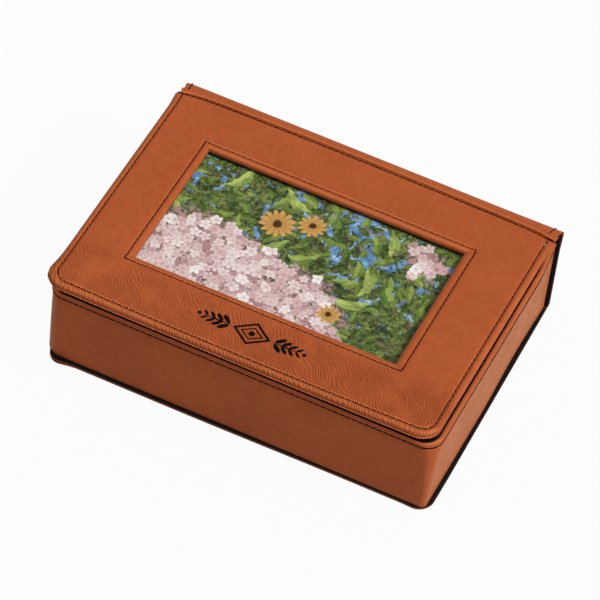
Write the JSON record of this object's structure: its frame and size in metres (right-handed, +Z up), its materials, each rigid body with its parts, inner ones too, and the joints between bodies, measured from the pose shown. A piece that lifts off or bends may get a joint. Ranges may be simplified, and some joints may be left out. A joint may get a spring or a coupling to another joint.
{
  "type": "photo storage box",
  "caption": "Book-style leatherette box for papers and keepsakes: a lined tray, a stiff spine and a hinged lid with a window over a photo pocket.",
  "frame": {"origin": "centre of the closed box's footprint, on the table", "axes": "+Z up, -Y towards the front of the lid, +Y towards the spine and hinge, +X to the right seen from the front"},
  "size_m": [0.1915, 0.1414, 0.052],
  "materials": {
    "leatherette": "matte, fine pebble grain",
    "black_lining": "matte black cloth",
    "board": "grey-brown binder's board",
    "foam": "soft thin padding",
    "thread": "black-brown waxed thread",
    "pane": "clear glossy sheet",
    "print": "glossy photographic print"
  },
  "bodies": {
    "box": {"base_cover": "leatherette", "base_board": "board", "base_lining": "black_lining", "spine_cover": "leatherette", "spine_board": "board", "spine_lining": "black_lining", "spine_stitching": "thread", "hinge_strip": "leatherette", "hinge_lining": "black_lining", "tray_wall_board": "board", "tray_back_board": "board", "tray_floor_board": "board", "tray_cover": "leatherette", "tray_wall_lining": "black_lining", "tray_floor_pad": "black_lining", "tray_stitching": "thread"},
    "lid": {"lid_cover": "leatherette", "lid_foam": "foam", "lid_frame_board": "board", "window_pane": "pane", "pocket_spacer": "board", "lid_backing_card": "board", "lid_lining": "black_lining", "lid_stitching": "thread", "window_stitching": "thread", "crease_stitching": "thread"},
    "photo": {"photo_print": "print"}
  },
  "joints": [
    {"name": "lid_hinge", "type": "hinge", "parent": "box", "child": "lid", "pos_m": [0, 0.0653, 0.052], "axis": [-1, 0, 0], "range_deg": [0, 180]},
    {"name": "photo_slide", "type": "slide", "parent": "lid", "child": "photo", "axis": [-1, 0, 0], "range_m": [0, 0.17]}
  ]
}
